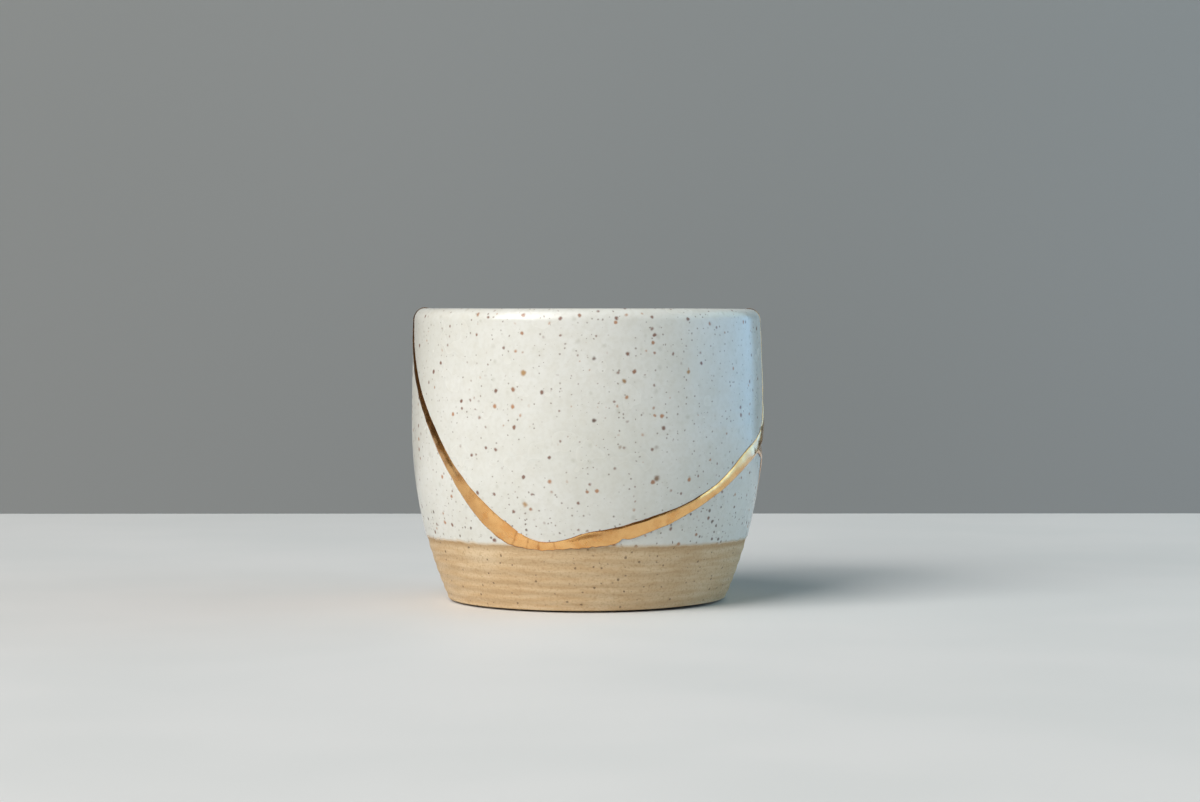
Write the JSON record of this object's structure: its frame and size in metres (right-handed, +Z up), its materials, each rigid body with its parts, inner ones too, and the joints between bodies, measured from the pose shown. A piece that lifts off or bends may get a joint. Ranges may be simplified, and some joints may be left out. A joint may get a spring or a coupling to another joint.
{
  "type": "kintsugi sake cup",
  "caption": "Small handleless stoneware cup with a rounded lip, speckled glaze over a bare clay foot, broken and rejoined along a raised, forked gold seam.",
  "frame": {"origin": "centre of the foot, on the surface the cup stands on", "axes": "+Z up along the axis the cup was thrown on; -Y is the front, where the seam dips lowest; +X is to the right of the front"},
  "size_m": [0.0708, 0.07, 0.0587],
  "materials": {
    "body_stoneware": "satin white glaze with brown iron specks, bare buff clay with throwing rings below the glaze line",
    "shard_stoneware": "satin white glaze with brown iron specks",
    "gold_lacquer": "cured lacquer dusted and polished with gold powder, satin metal look"
  },
  "bodies": {
    "root": {"cup_body": "body_stoneware", "front_shard": "shard_stoneware", "gold_seam": "gold_lacquer"}
  },
  "joints": []
}
